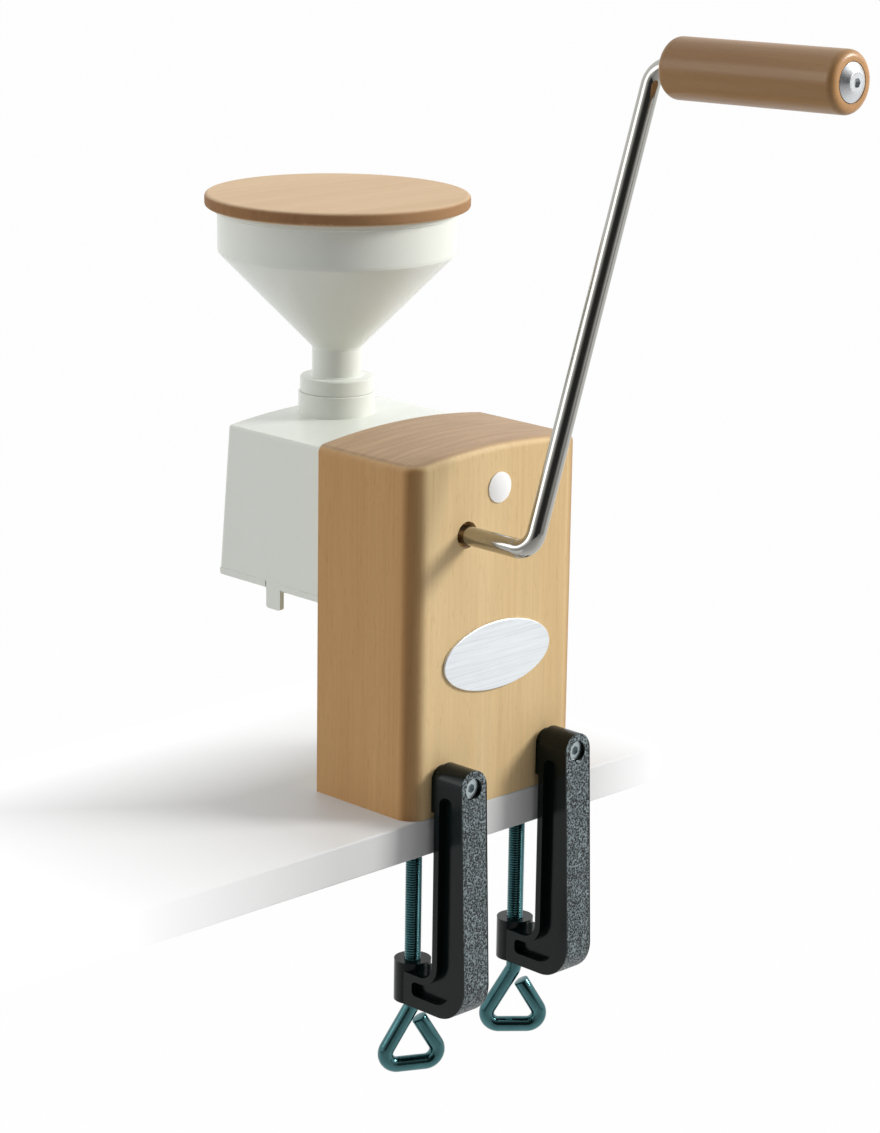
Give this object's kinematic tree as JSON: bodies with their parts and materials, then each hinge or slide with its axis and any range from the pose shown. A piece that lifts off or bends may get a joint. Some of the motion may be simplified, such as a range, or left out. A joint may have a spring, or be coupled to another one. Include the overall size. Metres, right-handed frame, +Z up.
{
  "type": "hand crank grain flaker",
  "caption": "Table-clamped grain flaker: beech block, side roller housing with a funnel hopper and lid, long bent crank with a wooden grip.",
  "frame": {"origin": "centre of the wood block's bottom face, which rests on the table top", "axes": "+X to the right along the front face, +Y from the front face to the roller housing, +Z up"},
  "size_m": [0.1308, 0.3303, 0.4983],
  "materials": {
    "beech_block": "oiled beech",
    "beech_lid": "satin lacquered beech",
    "beech_grip": "gloss lacquered wood",
    "housing_white": "gloss",
    "plug_white": "gloss",
    "rod_steel": "polished",
    "plate_metal": "brushed",
    "clamp_iron": "black gloss with hammered face",
    "zinc_steel": "zinc plated",
    "dark_steel": "black oxide",
    "bush_bronze": "turned",
    "roller_steel": "ground",
    "gear_plastic": "satin",
    "carrier_steel": "satin"
  },
  "bodies": {
    "frame": {"wood_block": "beech_block", "name_plate": "plate_metal", "front_plug": "plug_white", "housing_bolt": "dark_steel", "housing_nut": "zinc_steel", "front_bush": "bush_bronze", "rear_bush": "bush_bronze", "front_bearing_plate": "carrier_steel", "rear_bearing_plate": "carrier_steel", "plate_bushes": "bush_bronze", "tie_bars": "carrier_steel", "plate_screws": "zinc_steel", "housing_shell": "housing_white", "housing_base_frame": "housing_white", "clamp_left": "clamp_iron", "clamp_right": "clamp_iron", "clamp_fix_screw_left": "zinc_steel", "clamp_fix_screw_right": "zinc_steel"},
    "crank": {"crank_rod": "rod_steel", "drive_roller": "roller_steel", "drive_gear": "gear_plastic", "drive_pins": "zinc_steel", "drive_clip": "dark_steel", "grip_washer": "rod_steel", "grip_screw": "rod_steel"},
    "grip": {"crank_grip": "beech_grip"},
    "driven": {"driven_axle": "rod_steel", "driven_roller": "roller_steel", "driven_gear": "gear_plastic", "driven_pins": "zinc_steel", "driven_clip": "dark_steel"},
    "hopper": {"hopper": "housing_white"},
    "lid": {"lid_disc": "beech_lid", "lid_step": "beech_lid", "lid_screws": "zinc_steel"},
    "pad_left": {"clamp_pad_left": "zinc_steel"},
    "pad_right": {"clamp_pad_right": "zinc_steel"},
    "screw_left": {"clamp_screw_left": "zinc_steel"},
    "screw_right": {"clamp_screw_right": "zinc_steel"}
  },
  "joints": [
    {"name": "crank_spin", "type": "hinge", "parent": "frame", "child": "crank", "pos_m": [-0.0207, 0, 0.1328], "axis": [0, -1, 0], "continuous": true},
    {"name": "driven_spin", "type": "hinge", "parent": "frame", "child": "driven", "pos_m": [0.0207, 0.07, 0.1328], "axis": [0, -1, 0], "continuous": true},
    {"name": "grip_spin", "type": "hinge", "parent": "crank", "child": "grip", "pos_m": [0.0531, -0.12298, 0.34789], "axis": [0, -0.9996, 0.0297], "continuous": true},
    {"name": "hopper_lift", "type": "slide", "parent": "frame", "child": "hopper", "axis": [0, 0, 1], "range_m": [0, 0.03]},
    {"name": "lid_lift", "type": "slide", "parent": "hopper", "child": "lid", "axis": [0, 0, 1], "range_m": [0, 0.03]},
    {"name": "pad_left_travel", "type": "slide", "parent": "frame", "child": "pad_left", "axis": [0, 0, 1], "range_m": [-0.045, 0.00125]},
    {"name": "screw_left_turn", "type": "hinge", "parent": "pad_left", "child": "screw_left", "pos_m": [-0.0351, -0.0145, -0.06], "axis": [0, 0, 1], "range_deg": [-12960, 360]},
    {"name": "pad_right_travel", "type": "slide", "parent": "frame", "child": "pad_right", "axis": [0, 0, 1], "range_m": [-0.045, 0.00125]},
    {"name": "screw_right_turn", "type": "hinge", "parent": "pad_right", "child": "screw_right", "pos_m": [0.0351, -0.0145, -0.06], "axis": [0, 0, 1], "range_deg": [-12960, 360]}
  ],
  "couplings": [
    {"joint": "driven_spin", "follows": "crank_spin", "ratio": -1},
    {"joint": "screw_left_turn", "follows": "pad_left_travel", "rad_per_m": 5026.5},
    {"joint": "screw_right_turn", "follows": "pad_right_travel", "rad_per_m": 5026.5}
  ]
}
